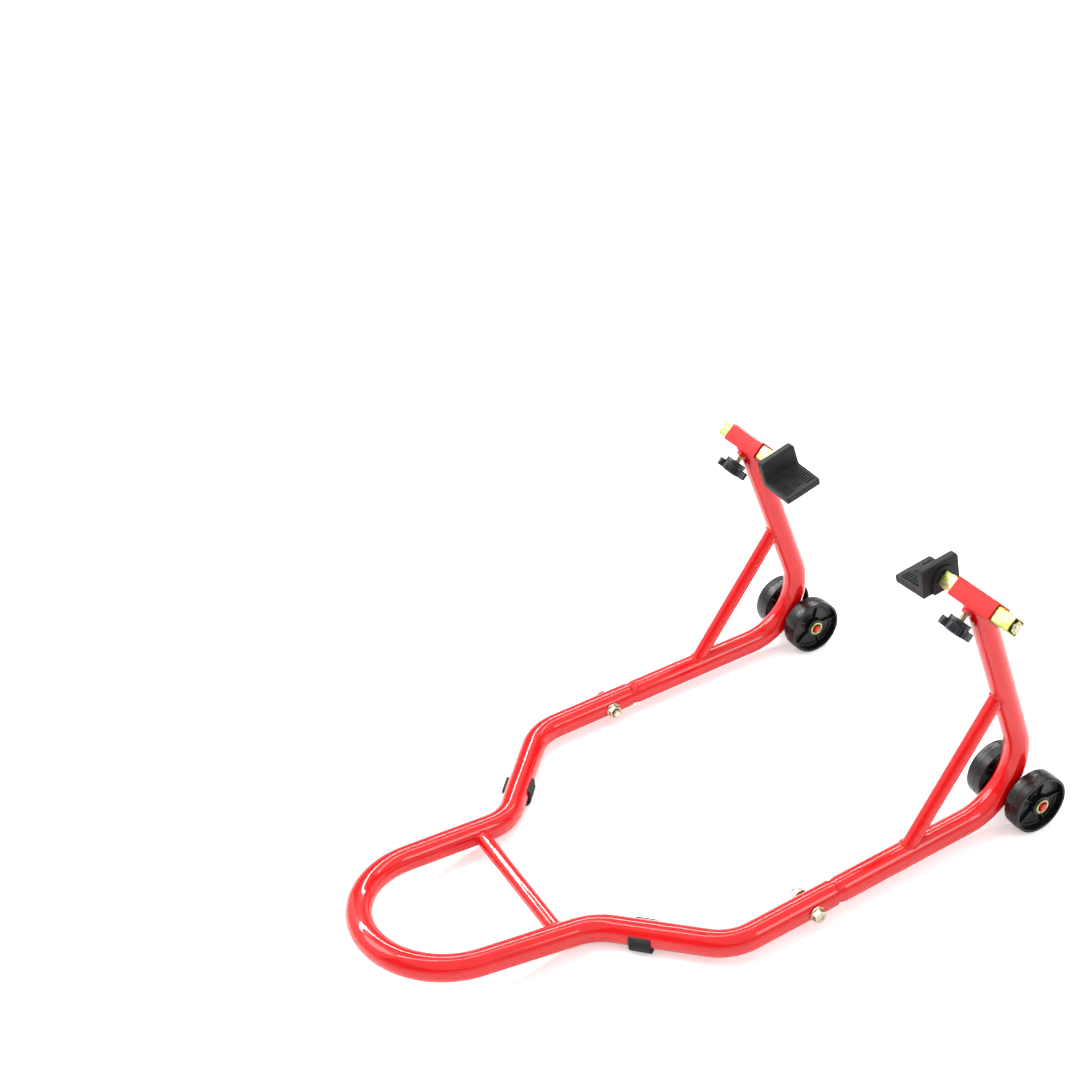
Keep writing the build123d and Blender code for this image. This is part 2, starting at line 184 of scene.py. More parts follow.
def prism(bm, at, outline, low, high, edge=0.0, hole=None):
    """An outline drawn along Z from low to high, its end edges rounded by edge, perhaps with a hole."""
    before = set(bm.edges)
    if hole:
        path = ((outline, low), (outline, high), (hole, high), (hole, low))
        lofted(bm, at, [[(x, y, z) for x, y in loop] for loop, z in path], hole=True)
    else:
        lofted(bm, at, [[(x, y, z) for x, y in outline] for z in (low, high)])
    if not edge:
        return
    back = at.inverted()

    def at_end(e):
        heights = [(back @ v.co).z for v in e.verts]
        return abs(heights[0] - heights[1]) < 1e-3 and len(e.link_faces) == 2

    ends = [e for e in bm.edges if e not in before and at_end(e)]
    if hole:
        # The flat ring at each end has edges across it too: only those on an outline are rounded.
        on_loop = {tuple(round(c, 3) for c in p) for loop in (outline, hole) for p in loop}
        ends = [
            e for e in ends
            if e.calc_face_angle(0) > radians(60)
            and all(tuple(round(c, 3) for c in (back @ v.co)[:2]) in on_loop for v in e.verts)
        ]
    bmesh.ops.bevel(
        bm, geom=ends, offset=edge, segments=3, profile=0.5, affect="EDGES", clamp_overlap=False
    )


def bead(bm, path, radius, ripple=2.2):
    """A weld bead round a closed path, with the ripples that the arc leaves, this far apart."""
    count = len(path)
    travelled = 0.0
    total = sum((path[(k + 1) % count] - path[k]).length for k in range(count))
    waves = max(3, round(total / ripple))
    middle = sum(path, Vector()) / count
    sections = []
    for k, point in enumerate(path):
        tangent = (path[(k + 1) % count] - path[k - 1]).normalized()
        out = point - middle
        out = (out - tangent * out.dot(tangent)).normalized()
        side = tangent.cross(out)
        swell = radius * (1 + 0.16 * cos(2 * pi * waves * travelled / total))
        turns = [2 * pi * i / 10 for i in range(10)]
        sections.append([point + (out * cos(a) + side * sin(a)) * swell for a in turns])
        travelled += (path[(k + 1) % count] - point).length
    lofted(bm, Matrix.Identity(4), sections, hole=True)


def piece(name, bm, rides_on, slot, *stands_for, sharp=38):
    """Turns a finished mesh into a piece of the object, with its finish, body and slot."""
    bmesh.ops.remove_doubles(bm, verts=bm.verts, dist=1e-3)
    bmesh.ops.dissolve_degenerate(bm, edges=bm.edges, dist=1e-4)
    bmesh.ops.recalc_face_normals(bm, faces=bm.faces)
    bmesh.ops.scale(bm, vec=(MM, MM, MM), verts=bm.verts)
    mesh = bpy.data.meshes.new(name)
    bm.to_mesh(mesh)
    bm.free()
    mesh.shade_smooth()
    mesh.set_sharp_from_angle(angle=radians(sharp))
    made = bpy.data.objects.new(name, mesh)
    bpy.context.scene.collection.objects.link(made)
    mesh.materials.append(FINISHES[slot])
    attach(made, rides_on)
    if stands_for:
        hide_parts(*stands_for)


# ---- Profiles of turned parts ---------------------------------------------------------
def ring_profile(outer, inner, low, high, edge):
    """A washer, ring or plain shank with rounded edges."""
    outline = rounded([(inner, low), (outer, low), (outer, high), (inner, high)], edge, steps=3)
    return lambda angle: outline


def rod_profile(radius, low, high, edge):
    """A solid round bar with chamfered ends."""
    points = [(0, low), (radius - edge, low), (radius, low + edge)]
    points += [(radius, high - edge), (radius - edge, high), (0, high)]
    return lambda angle: points


def hexagon_profile(flats, bore, low, high, chamfered=("low", "high")):
    """A hexagon whose corners are turned down at 30 degrees, as on bar-turned nuts and bolt heads."""
    # The bearing face is a circle a little narrower than the flats.
    bearing = 0.48 * flats
    least = 0.01

    def profile(angle):
        corner = flats / 2 / cos((angle % (pi / 3)) - pi / 6)
        fall = (corner - bearing) * tan(radians(30))
        start = min(corner, bearing) if "low" in chamfered else corner
        end = min(corner, bearing) if "high" in chamfered else corner
        return [
            (bore, low + 0.3),
            (bore + 0.3, low),
            (start, low),
            (corner, low + (fall if "low" in chamfered else least)),
            (corner, high - (fall if "high" in chamfered else least)),
            (end, high),
            (bore + 0.3, high),
            (bore, high - 0.3),
        ]

    return profile


def thread_profile(diameter, pitch, low, high, chamfer=1.0):
    """A solid bar with a real helical thread: the groove's depth follows height and angle."""
    depth = 0.6 * pitch
    steps_per_pitch = 8
    count = ceil((high - low) / pitch * steps_per_pitch)

    def profile(angle):
        points = [(0, low)]
        for k in range(count + 1):
            z = low + (high - low) * k / count
            phase = (z / pitch - angle / (2 * pi)) % 1
            # Straight flanks between a flat crest and a flat root.
            groove = depth * min(1, max(0, 1.35 * abs(2 * phase - 1) - 0.2))
            taper = max(0, chamfer - min(z - low, high - z))
            points.append((diameter / 2 - max(groove, min(taper, depth)), z))
        return points + [(0, high)]

    return profile


# ---- Materials ------------------------------------------------------------------------
def colour(code):
    """An sRGB hex colour as the linear colour that shaders take."""
    parts = [int(code[i : i + 2], 16) / 255 for i in (0, 2, 4)]
    return [p / 12.92 if p <= 0.04045 else ((p + 0.055) / 1.055) ** 2.4 for p in parts] + [1]


def per_size(size):
    """The texture scale at which one feature of a pattern is this many mm across."""
    return 1 / (size * MM)


def add_node(tree, kind, settings=None, links=None, stops=()):
    """Adds a node, sets its properties and sockets by name, and links sockets to (node, output)."""
    made = tree.nodes.new(kind)
    for _ in stops[2:]:
        made.color_ramp.elements.new(0.5)
    for index, (place, code) in enumerate(stops):
        made.color_ramp.elements[index].position = place
        made.color_ramp.elements[index].color = colour(code)
    for name, value in (settings or {}).items():
        if hasattr(made, name):
            setattr(made, name, value)
        else:
            made.inputs[name].default_value = value
    for name, (source, output) in (links or {}).items():
        tree.links.new(source.outputs[output], made.inputs[name])
    return made


def blank_material(name):
    """A material with only its output node, and the object coordinates that every pattern uses."""
    made = bpy.data.materials.new(name)
    made.use_nodes = True
    made.node_tree.nodes.clear()
    return made, made.node_tree, add_node(made.node_tree, "ShaderNodeTexCoord")


def stoved_red_enamel():
    # Steel tube sprayed with red stoving enamel. The paint levels to a deep wet gloss with a
    # slight orange peel over long shallow waves where it flowed, so lamps mirror in it with
    # wandering edges.
    made, tree, place = blank_material("stoved_red_enamel")
    tone = add_node(tree, "ShaderNodeTexNoise", {"Scale": per_size(60), "Detail": 3},
                    {"Vector": (place, "Object")})
    shade = add_node(tree, "ShaderNodeValToRGB", None, {"Fac": (tone, "Fac")},
                     [(0.3, "D2060A"), (0.7, "DE0A0F")])
    peel = add_node(tree, "ShaderNodeTexNoise", {"Scale": per_size(3.5), "Detail": 2},
                    {"Vector": (place, "Object")})
    draw = add_node(tree, "ShaderNodeTexNoise", {"Scale": per_size(22), "Detail": 2},
                    {"Vector": (place, "Object")})
    flow = add_node(tree, "ShaderNodeBump", {"Strength": 0.35, "Distance": 0.4 * MM},
                    {"Height": (draw, "Fac")})
    waves = add_node(tree, "ShaderNodeBump", {"Strength": 0.08, "Distance": 0.05 * MM},
                     {"Height": (peel, "Fac"), "Normal": (flow, "Normal")})
    haze = add_node(tree, "ShaderNodeMapRange", {"To Min": 0.16, "To Max": 0.26},
                    {"Value": (tone, "Fac")})
    shader = add_node(tree, "ShaderNodeBsdfPrincipled",
                      {"IOR": 1.5, "Specular IOR Level": 0.15, "Coat Weight": 1.0,
                       "Coat Roughness": 0.02, "Coat IOR": 1.46},
                      {"Base Color": (shade, "Color"), "Roughness": (haze, "Result"),
                       "Normal": (waves, "Normal"), "Coat Normal": (waves, "Normal")})
    add_node(tree, "ShaderNodeOutputMaterial", links={"Surface": (shader, "BSDF")})
    return made


def yellow_passivated_zinc():
    # Zinc plate with yellow chromate passivation. The film is thinner than light's wavelength,
    # so it drifts from straw through green to pink, in streaks 11 mm wide along the drawn bar.
    made, tree, place = blank_material("yellow_passivated_zinc")
    drawn_out = add_node(tree, "ShaderNodeMapping", {"Scale": (0.3, 1, 1)},
                         {"Vector": (place, "Object")})
    film = add_node(tree, "ShaderNodeTexNoise",
                    {"Scale": per_size(11), "Detail": 2, "Distortion": 0.3},
                    {"Vector": (drawn_out, "Vector")})
    shade = add_node(tree, "ShaderNodeValToRGB", None, {"Fac": (film, "Fac")},
                     [(0.32, "BCAC56"), (0.43, "A0BA5E"), (0.52, "CCCA90"),
                      (0.62, "C49E76"), (0.72, "AEB650")])
    grain = add_node(tree, "ShaderNodeTexNoise", {"Scale": per_size(1.2), "Detail": 4},
                     {"Vector": (drawn_out, "Vector")})
    blur = add_node(tree, "ShaderNodeMapRange", {"To Min": 0.2, "To Max": 0.36},
                    {"Value": (grain, "Fac")})
    drawn = add_node(tree, "ShaderNodeBump", {"Strength": 0.15, "Distance": 0.02 * MM},
                     {"Height": (grain, "Fac")})
    shader = add_node(tree, "ShaderNodeBsdfPrincipled", {"Metallic": 1.0},
                      {"Base Color": (shade, "Color"), "Roughness": (blur, "Result"),
                       "Normal": (drawn, "Normal")})
    add_node(tree, "ShaderNodeOutputMaterial", links={"Surface": (shader, "BSDF")})
    return made


def bright_zinc_plate():
    # Clear-passivated zinc on bolts, nuts and studs: a pale grey metal, slightly warm and cloudy.
    made, tree, place = blank_material("bright_zinc_plate")
    cloud = add_node(tree, "ShaderNodeTexNoise", {"Scale": per_size(3), "Detail": 4},
                     {"Vector": (place, "Object")})
    shade = add_node(tree, "ShaderNodeValToRGB", None, {"Fac": (cloud, "Fac")},
                     [(0.3, "A9A58C"), (0.5, "CDC7AC"), (0.7, "B6B9A2")])
    blur = add_node(tree, "ShaderNodeMapRange", {"To Min": 0.22, "To Max": 0.38},
                    {"Value": (cloud, "Fac")})
    shader = add_node(tree, "ShaderNodeBsdfPrincipled", {"Metallic": 1.0},
                      {"Base Color": (shade, "Color"), "Roughness": (blur, "Result")})
    add_node(tree, "ShaderNodeOutputMaterial", links={"Surface": (shader, "BSDF")})
    return made


def moulded_black_nylon():
    # Injection-moulded glass-filled nylon wheels: near black, with a mottled sheen where the
    # melt cooled against the mould at different speeds.
    made, tree, place = blank_material("moulded_black_nylon")
    mottle = add_node(tree, "ShaderNodeTexNoise",
                      {"Scale": per_size(7), "Detail": 5, "Roughness": 0.6},
                      {"Vector": (place, "Object")})
    shade = add_node(tree, "ShaderNodeValToRGB", None, {"Fac": (mottle, "Fac")},
                     [(0.35, "08080A"), (0.68, "121214")])
    blur = add_node(tree, "ShaderNodeMapRange",
                    {"From Min": 0.3, "From Max": 0.7, "To Min": 0.2, "To Max": 0.42},
                    {"Value": (mottle, "Fac")})
    grain = add_node(tree, "ShaderNodeTexNoise", {"Scale": per_size(1.1), "Detail": 3},
                     {"Vector": (place, "Object")})
    pits = add_node(tree, "ShaderNodeBump", {"Strength": 0.35, "Distance": 0.05 * MM},
                    {"Height": (grain, "Fac")})
    shader = add_node(tree, "ShaderNodeBsdfPrincipled", {"IOR": 1.53, "Specular IOR Level": 0.4},
                      {"Base Color": (shade, "Color"), "Roughness": (blur, "Result"),
                       "Normal": (pits, "Normal")})
    add_node(tree, "ShaderNodeOutputMaterial", links={"Surface": (shader, "BSDF")})
    return made


def moulded_black_rubber():
    # Compression-moulded nitrile rubber: charcoal, matt, with the fine sandblasted grain of
    # its mould. The real grain is about 0.2 mm; it is drawn at 0.8 mm so that it shows.
    made, tree, place = blank_material("moulded_black_rubber")
    bloom = add_node(tree, "ShaderNodeTexNoise", {"Scale": per_size(9), "Detail": 4},
                     {"Vector": (place, "Object")})
    shade = add_node(tree, "ShaderNodeValToRGB", None, {"Fac": (bloom, "Fac")},
                     [(0.35, "17181A"), (0.7, "222325")])
    grain = add_node(tree, "ShaderNodeTexNoise",
                     {"Scale": per_size(0.8), "Detail": 3, "Roughness": 0.7},
                     {"Vector": (place, "Object")})
    skin = add_node(tree, "ShaderNodeBump", {"Strength": 0.4, "Distance": 0.06 * MM},
                    {"Height": (grain, "Fac")})
    blur = add_node(tree, "ShaderNodeMapRange", {"To Min": 0.48, "To Max": 0.66},
                    {"Value": (bloom, "Fac")})
    shader = add_node(tree, "ShaderNodeBsdfPrincipled", {"IOR": 1.52, "Specular IOR Level": 0.3},
                      {"Base Color": (shade, "Color"), "Roughness": (blur, "Result"),
                       "Normal": (skin, "Normal")})
    add_node(tree, "ShaderNodeOutputMaterial", links={"Surface": (shader, "BSDF")})
    return made


def moulded_knob_plastic():
    # Moulded polypropylene star knobs: blue-black with a satin skin that picks up broad lights.
    made, tree, place = blank_material("moulded_knob_plastic")
    flow = add_node(tree, "ShaderNodeTexNoise", {"Scale": per_size(6), "Detail": 3, "Distortion": 0.5},
                    {"Vector": (place, "Object")})
    shade = add_node(tree, "ShaderNodeValToRGB", None, {"Fac": (flow, "Fac")},
                     [(0.35, "121419"), (0.7, "1D2026")])
    blur = add_node(tree, "ShaderNodeMapRange", {"To Min": 0.26, "To Max": 0.42},
                    {"Value": (flow, "Fac")})
    shader = add_node(tree, "ShaderNodeBsdfPrincipled", {"IOR": 1.5},
                      {"Base Color": (shade, "Color"), "Roughness": (blur, "Result")})
    add_node(tree, "ShaderNodeOutputMaterial", links={"Surface": (shader, "BSDF")})
    return made


def natural_nylon():
    # Unfilled nylon of the wheel bushes: milky, slightly translucent white.
    made, tree, place = blank_material("natural_nylon")
    milk = add_node(tree, "ShaderNodeTexNoise", {"Scale": per_size(4), "Detail": 2},
                    {"Vector": (place, "Object")})
    shade = add_node(tree, "ShaderNodeValToRGB", None, {"Fac": (milk, "Fac")},
                     [(0.3, "DAD6CA"), (0.7, "E8E5DC")])
    shader = add_node(tree, "ShaderNodeBsdfPrincipled",
                      {"IOR": 1.53, "Roughness": 0.4, "Subsurface Weight": 0.15,
                       "Subsurface Scale": 2 * MM},
                      {"Base Color": (shade, "Color")})
    add_node(tree, "ShaderNodeOutputMaterial", links={"Surface": (shader, "BSDF")})
    return made


def pale_paper_floor():
    # A seamless matt paper floor, lit so strongly that shadows on it burn out almost to white.
    # Only the camera sees that extra light, so it doesn't brighten the tubes from below.
    made, tree, place = blank_material("pale_paper_floor")
    seen = add_node(tree, "ShaderNodeLightPath")
    burnt = add_node(tree, "ShaderNodeMapRange", {"To Max": 0.4},
                     {"Value": (seen, "Is Camera Ray")})
    fibre = add_node(tree, "ShaderNodeTexNoise", {"Scale": per_size(40), "Detail": 2},
                     {"Vector": (place, "Object")})
    shade = add_node(tree, "ShaderNodeValToRGB", None, {"Fac": (fibre, "Fac")},
                     [(0.3, "FAFAFA"), (0.7, "FCFCFC")])
    shader = add_node(tree, "ShaderNodeBsdfPrincipled",
                      {"Roughness": 1.0, "Specular IOR Level": 0.0},
                      {"Base Color": (shade, "Color"), "Emission Strength": (burnt, "Result")})
    add_node(tree, "ShaderNodeOutputMaterial", links={"Surface": (shader, "BSDF")})
    return made


FINISHES = {
    "red_enamel": stoved_red_enamel(),
    "yellow_zinc": yellow_passivated_zinc(),
    "bright_zinc": bright_zinc_plate(),
    "black_nylon": moulded_black_nylon(),
    "black_rubber": moulded_black_rubber(),
    "knob_plastic": moulded_knob_plastic(),
    "white_nylon": natural_nylon(),
}
for part in record["subparts"]:
    slots = nodes[part["node"]].data.materials
    for index in range(len(slots)):
        slots[index] = FINISHES[part["material_slot"]]


# ---- Wheels ---------------------------------------------------------------------------
WHEEL_RIM = 4.0
WHEEL_WEB = 4.0
HUB_RADIUS = 13.0
BORE_RADIUS = 8.0
TREAD_CROWN = 0.4
SEAM_HEIGHT = 0.25
SEAM_HALF_WIDTH = 0.5
WEB_RIDGE_RADIUS = 28.5
WEB_RIDGE_HEIGHT = 1.0
RIB_COUNT = 5
RIB_THICKNESS = 2.8
RIB_INSET = 6.0
RIB_DRAFT = 0.5


def wheel_outline(radius, width):
    """The wheel's section, from the bore out to the tread and back, as (radius, height)."""
    half = width / 2
    rim = radius - WHEEL_RIM
    web = WHEEL_WEB / 2
    hub = [(BORE_RADIUS, -half), (HUB_RADIUS - 0.4, -half), (HUB_RADIUS, -web)]
    ridge = [
        (WEB_RIDGE_RADIUS - 1.2, -web),
        (WEB_RIDGE_RADIUS - 0.6, -web - WEB_RIDGE_HEIGHT),
        (WEB_RIDGE_RADIUS + 0.6, -web - WEB_RIDGE_HEIGHT),
        (WEB_RIDGE_RADIUS + 1.2, -web),
    ]
    flange = [(rim - 0.8, -web), (rim, -half + 0.6), (rim + 0.6, -half), (radius - TREAD_CROWN, -half)]
    tread = [(radius - 0.1, -half / 2), (radius, -SEAM_HALF_WIDTH)]
    seam = [(radius + SEAM_HEIGHT, -SEAM_HALF_WIDTH / 2)]
    section = hub + ridge + flange + tread + seam
    corners = [0.6, 1, 1.5, 0.4, 0.4, 0.4, 0.4, 1.5, 0.5, 0.5, 1.8, 3, 0.1, 0.1]
    whole = section + [(r, -z) for r, z in reversed(section)]
    return rounded(whole, corners + corners[::-1], steps=4)


def build_wheel(node):
    """A moulded wheel with its tread's parting seam, and ribs that cross the web from hub to rim."""
    low, high = box(node)
    radius, width = (high.z - low.z) / 2 - SEAM_HEIGHT, high.x - low.x
    at = local_frame(centre(node), (1, 0, 0), (0, 1, 0))
    outline = wheel_outline(radius, width)
    bm = bmesh.new()
    turned(bm, at, lambda angle: outline, segments=128)
    start, reach = BORE_RADIUS + 2, radius - WHEEL_RIM / 2
    half = width / 2 - RIB_INSET
    root, top = RIB_THICKNESS / 2 + RIB_DRAFT, RIB_THICKNESS / 2
    section = rounded(
        [(-root, 0), (-top, half), (top, half), (root, 0), (top, -half), (-top, -half)],
        [0, 0.9, 0.9, 0, 0.9, 0.9],
    )
    for k in range(RIB_COUNT):
        turn = Matrix.Rotation(2 * pi * k / RIB_COUNT, 4, "Z")
        lofted(bm, at @ turn, [[(x, y, z) for y, z in section] for x in (start, reach)])
    piece(f"{node}_moulding", bm, body(node), "black_nylon", node)


for place in ("outer", "inner"):
    for side in SIDES:
        build_wheel(f"wheel_{place}_{side}")


# ---- Axle ends, spacers and retainers -------------------------------------------------
SPIGOT_RADIUS = 4.5
SPIGOT_LENGTH = 5.0
CAP_HOLE_RADIUS = 6.8
CAP_DEPTH = 1.6
BLACK_RING_RECESS = 1.0


def build_axle(side):
    """The axle bar, turned down at both ends to a short spigot."""
    at = local_frame(centre(f"axle_{side}"), (1, 0, 0), (0, 1, 0))
    half, radius = (span(box(f"axle_{side}"), axis) / 2 for axis in (0, 2))
    shoulder = half - SPIGOT_LENGTH
    end = [(radius, shoulder), (SPIGOT_RADIUS, shoulder), (SPIGOT_RADIUS, half)]
    points = [(0, -half)] + [(r, -z) for r, z in reversed(end)] + end + [(0, half)]
    outline = rounded(points, [0, 1.2, 0, 0.2, 0.2, 0, 1.2, 0], steps=4)
    bm = bmesh.new()
    turned(bm, at, lambda angle: outline)
    piece(f"axle_{side}_bar", bm, body(f"axle_{side}"), "red_enamel", f"axle_{side}")


def build_axle_rings():
    """Spacers are flat rings; each retainer is a pressed cap ring, with a black rubber ring sunk in the
    gap between its hole and the spigot.
    """
    outer = span(box("axle_retainers"), 2) / 2
    axle_radius = span(box("axle_right"), 2) / 2
    spacers, retainers, black_rings = bmesh.new(), bmesh.new(), bmesh.new()
    for side in SIDES:
        hub = centre(f"axle_boss_{side}")
        boss_half = span(box(f"axle_boss_{side}"), 0) / 2
        spacer_high = abs(box("axle_spacers")[1].x) - abs(hub.x)
        cap_high = abs(box("axle_retainers")[1].x) - abs(hub.x)
        for way in (1, -1):
            at = local_frame(hub, (way, 0, 0), (0, 1, 0))
            turned(spacers, at, ring_profile(outer, axle_radius, boss_half, spacer_high, 0.4))
            base = cap_high - CAP_DEPTH
            cap = [
                (CAP_HOLE_RADIUS, base),
                (outer, base),
                (outer, cap_high - 0.5),
                (outer - 0.7, cap_high),
                (CAP_HOLE_RADIUS + 0.5, cap_high),
                (CAP_HOLE_RADIUS, cap_high - 0.5),
            ]
            shape = rounded(cap, [0, 0.3, 0.4, 0.4, 0.3, 0.3], steps=3)
            turned(retainers, at, lambda angle: shape)
            # A black rubber ring fills the gap round the spigot, sunk a little below the cap's face.
            black_ring_high = cap_high - BLACK_RING_RECESS
            turned(black_rings, at, ring_profile(CAP_HOLE_RADIUS, SPIGOT_RADIUS, base + 0.2, black_ring_high, 0.2))
    piece("axle_spacer_rings", spacers, body("axle_spacers"), "yellow_zinc", "axle_spacers")
    piece("axle_cap_rings", retainers, body("axle_retainers"), "yellow_zinc", "axle_retainers")
    piece("axle_cap_black_rings", black_rings, body("axle_retainers"), "black_rubber")


for side in SIDES:
    build_axle(side)
build_axle_rings()

# ---- Sleeve, clamp nut, stud and knob -------------------------------------------------
SLEEVE_SIZE = 25.0
SLEEVE_WALL = 2.0
BAR_SIZE = 20.0
BAR_WALL = 1.5
SAWN_EDGE = 0.35
CLAMP_NUT_FLATS = 13.0
CLAMP_NUT_HEIGHT = 6.5
STUD_DIAMETER = 8.0
STUD_HOLE_RADIUS = STUD_DIAMETER / 2 + 0.05
STUD_PITCH = 1.25
KNOB_LOBES = 6
KNOB_RADIUS = 21.0
KNOB_CORE = 15.5
KNOB_LOBE_WIDTH = 12.0
KNOB_BOSS_RADIUS = 14.0
KNOB_BOSS_HEIGHT = 6.0
KNOB_HEIGHT = 10.5
KNOB_CAP_RADIUS = 11.5
KNOB_CAP_HEIGHT = 1.6


def clamp_axis(side):
    return Vector(joints[f"clamp_stud_{side}_slide"]["axis"])


def square(size, radius):
    half = size / 2
    return rounded([(-half, -half), (half, -half), (half, half), (-half, half)], radius, steps=5)


def square_tube(name, node, slot, size, wall, corner):
    """A square tube along X, turned so that one face looks along the clamp screw."""
    side = "right" if node.endswith("right") else "left"
    low, high = box(node)
    half = (high.x - low.x) / 2
    at = local_frame(centre(node), (1, 0, 0), clamp_axis(side))
    bm = bmesh.new()
    inner = square(size - 2 * wall, max(0.3, corner - wall * 0.6))
    prism(bm, at, square(size, corner), -half, half, SAWN_EDGE, hole=inner)
    piece(name, bm, body(node), slot, node)


def star_outline():
    """The knob's lobes as straight-sided bars that stand out of a round core."""
    half = KNOB_LOBE_WIDTH / 2
    root = sqrt(KNOB_CORE**2 - half**2)
    lobe = [(root, -half), (KNOB_RADIUS, -half), (KNOB_RADIUS, half), (root, half)]
    points, radii = [], []
    for k in range(KNOB_LOBES):
        turn = Matrix.Rotation(2 * pi * k / KNOB_LOBES, 2)
        points += [turn @ Vector(p) for p in lobe]
        radii += [1.2, 2.2, 2.2, 1.2]
    return rounded(points, radii, steps=4)


def build_clamp(side):
    """The welded nut, the threaded stud and the star knob of one clamp screw."""
    axis = clamp_axis(side)
    nut, stud, knob = (f"clamp_{part}_{side}" for part in ("nut", "stud", "knob"))
    nut_at = local_frame(centre(nut), axis, (1, 0, 0))
    nut_half = CLAMP_NUT_HEIGHT / 2
    hexagon = hexagon_profile(CLAMP_NUT_FLATS, STUD_HOLE_RADIUS, -nut_half, nut_half, ("high",))
    bm = bmesh.new()
    turned(bm, nut_at, hexagon, 72)
    piece(f"{nut}_hexagon", bm, body(nut), "red_enamel", nut)

    # The stud is slanted, so its box is longer by what its round end adds.
    flat = sqrt(1 - axis.y**2) * STUD_DIAMETER / 2
    stud_half = (span(box(stud), 1) / 2 - flat) / abs(axis.y)
    stud_at = local_frame(centre(stud), axis, (1, 0, 0))
    bm = bmesh.new()
    turned(bm, stud_at, thread_profile(STUD_DIAMETER, STUD_PITCH, -stud_half, stud_half), 48)
    piece(f"{stud}_thread", bm, body(stud), "bright_zinc", stud)

    foot = Vector(joints[f"clamp_knob_{side}_turn"]["pos_m"]) / MM
    at = local_frame(foot, axis, (1, 0, 0))
    bm = bmesh.new()
    turned(bm, at, ring_profile(KNOB_BOSS_RADIUS, STUD_HOLE_RADIUS, 0, KNOB_BOSS_HEIGHT + 1, 1.0))
    top = KNOB_BOSS_HEIGHT + KNOB_HEIGHT
    prism(bm, at, star_outline(), KNOB_BOSS_HEIGHT, top, 1.0)
    # A low domed cap closes the moulding's outer face.
    rise = [pi / 2 * k / 8 for k in range(9)]
    dome = [(KNOB_CAP_RADIUS * cos(a), top + KNOB_CAP_HEIGHT * sin(a)) for a in rise]
    cap = [(0, top - 0.5), (KNOB_CAP_RADIUS, top - 0.5)] + dome
    turned(bm, at, lambda angle: cap, 48)
    piece(f"{knob}_star", bm, body(knob), "knob_plastic", knob)


for side in SIDES:
    square_tube(f"sleeve_{side}_tube", f"sleeve_{side}", "red_enamel", SLEEVE_SIZE, SLEEVE_WALL, 2.2)
    square_tube(f"slide_bar_{side}_tube", f"slide_bar_{side}", "yellow_zinc", BAR_SIZE, BAR_WALL, 1.8)
    build_clamp(side)

# ---- Pads -----------------------------------------------------------------------------
PAD_THICKNESS = 9.2
PAD_REACH = 54.0
PAD_ABOVE = 24.2
PAD_BELOW = 15.9
PAD_LENGTH = 53.0
PAD_FORWARD = 3.0
PAD_EDGE = 1.2
PAD_TOP_CORNER = 5.5
PAD_FREE_CORNER = 3.0
ARCH_RADIUS = 17.0
ARCH_DEPTH = 4.0
RIDGE_HEIGHT = 1.4
RIDGE_WIDTH = 2.5
RIDGE_PITCH = 4.2
RIDGE_START = 6.5
RIDGE_FREE_MARGIN = 10
PANEL_ROWS = 3
PANEL_HALF_WIDTH = 8.0
PANEL_MARGIN = 2.6
PANEL_FRAME_WIDTH = 1.0
PANEL_FRAME_HEIGHT = 0.6
# Ridges start a little inside the rubber, so that no gap shows under them.
SUNK = -0.5


def corner_fall(away, radius):
    """How far a rounded corner has fallen, this far before the end of the side."""
    into = max(0.0, radius - away)
    return radius - sqrt(max(0.0, radius**2 - into**2))


def pad_section(y, droop):
    """The pad's L profile at y, with x out to the sleeve and z up. Its ends are rounded."""
    away = PAD_LENGTH / 2 - abs(y)
    inset = corner_fall(away, PAD_EDGE)
    top = PAD_ABOVE - corner_fall(away, PAD_TOP_CORNER)
    reach = PAD_REACH - PAD_THICKNESS - corner_fall(away, PAD_FREE_CORNER)
    seat = Vector((-PAD_THICKNESS + inset, -PAD_BELOW + PAD_THICKNESS))
    along, down = Vector((-cos(droop), -sin(droop))), Vector((sin(droop), -cos(droop)))
    thick = PAD_THICKNESS - inset
    points = [
        (-inset, top - inset),
        (-PAD_THICKNESS + inset, top - inset),
        seat + down * inset,
        seat + along * (reach - inset) + down * inset,
        seat + along * (reach - inset) + down * thick,
        (-inset, -PAD_BELOW + inset),
    ]
    points = [Vector(p) for p in points]
    return [(p.x, y, p.y) for p in rounded(points, [1.3, 1.3, 3, 1.4, 1.6, 3], steps=5)]


def ridge_outline(low, high, half, corner, middle=0.0, steps=3):
    """A rounded bar or frame on the seat, from low to high along it and half to each side."""
    start, end = middle - half, middle + half
    return rounded([(low, start), (high, start), (high, end), (low, end)], corner, steps=steps)


